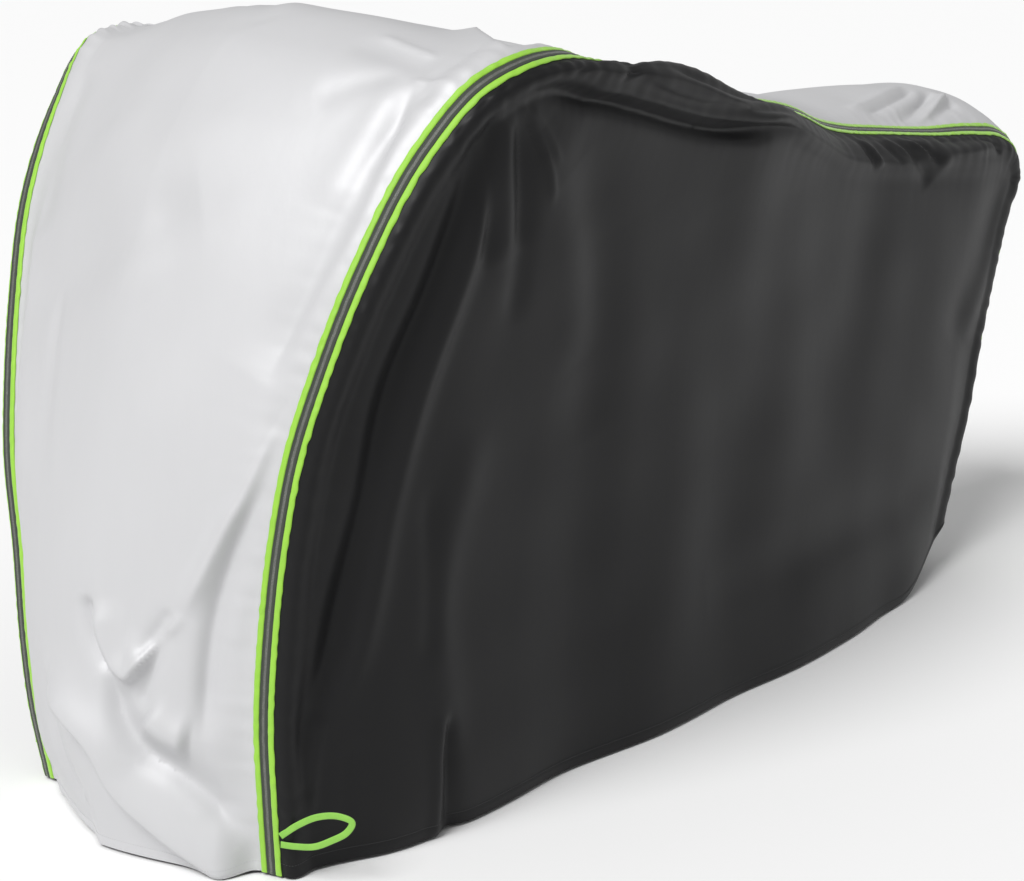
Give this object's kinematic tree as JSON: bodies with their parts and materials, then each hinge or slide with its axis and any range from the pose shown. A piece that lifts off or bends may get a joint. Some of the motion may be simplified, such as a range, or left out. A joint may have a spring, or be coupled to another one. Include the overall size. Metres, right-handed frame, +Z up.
{
  "type": "motorcycle cover",
  "caption": "Fitted motorcycle cover: a pale centre strip from front hem over the top to the rear hem, dark side panels, taped and piped seams, and webbing tie loops at the front.",
  "frame": {"origin": "on the underside of the centre strip, on the centre line, a third of the way back from the highest place, where the cover rests on what it covers", "axes": "+X towards the rear, +Z up, the left side (seen from in front of the picture) towards -Y"},
  "size_m": [2.3546, 0.9702, 1.2372],
  "materials": {
    "silver_cloth": "satin coated cloth",
    "black_cloth": "satin coated cloth",
    "woven_tape": "woven, with a speckled grey reflective stripe",
    "bright_piping": "matt woven",
    "bright_webbing": "woven webbing"
  },
  "bodies": {
    "root": {"centre_panel": "silver_cloth", "side_panel_left": "black_cloth", "side_panel_right": "black_cloth", "seam_tape_left": "woven_tape", "seam_tape_right": "woven_tape", "piping_side_left": "bright_piping", "piping_side_right": "bright_piping", "piping_centre_left": "bright_piping", "piping_centre_right": "bright_piping", "tie_loop_left": "bright_webbing", "tie_loop_right": "bright_webbing"}
  },
  "joints": []
}
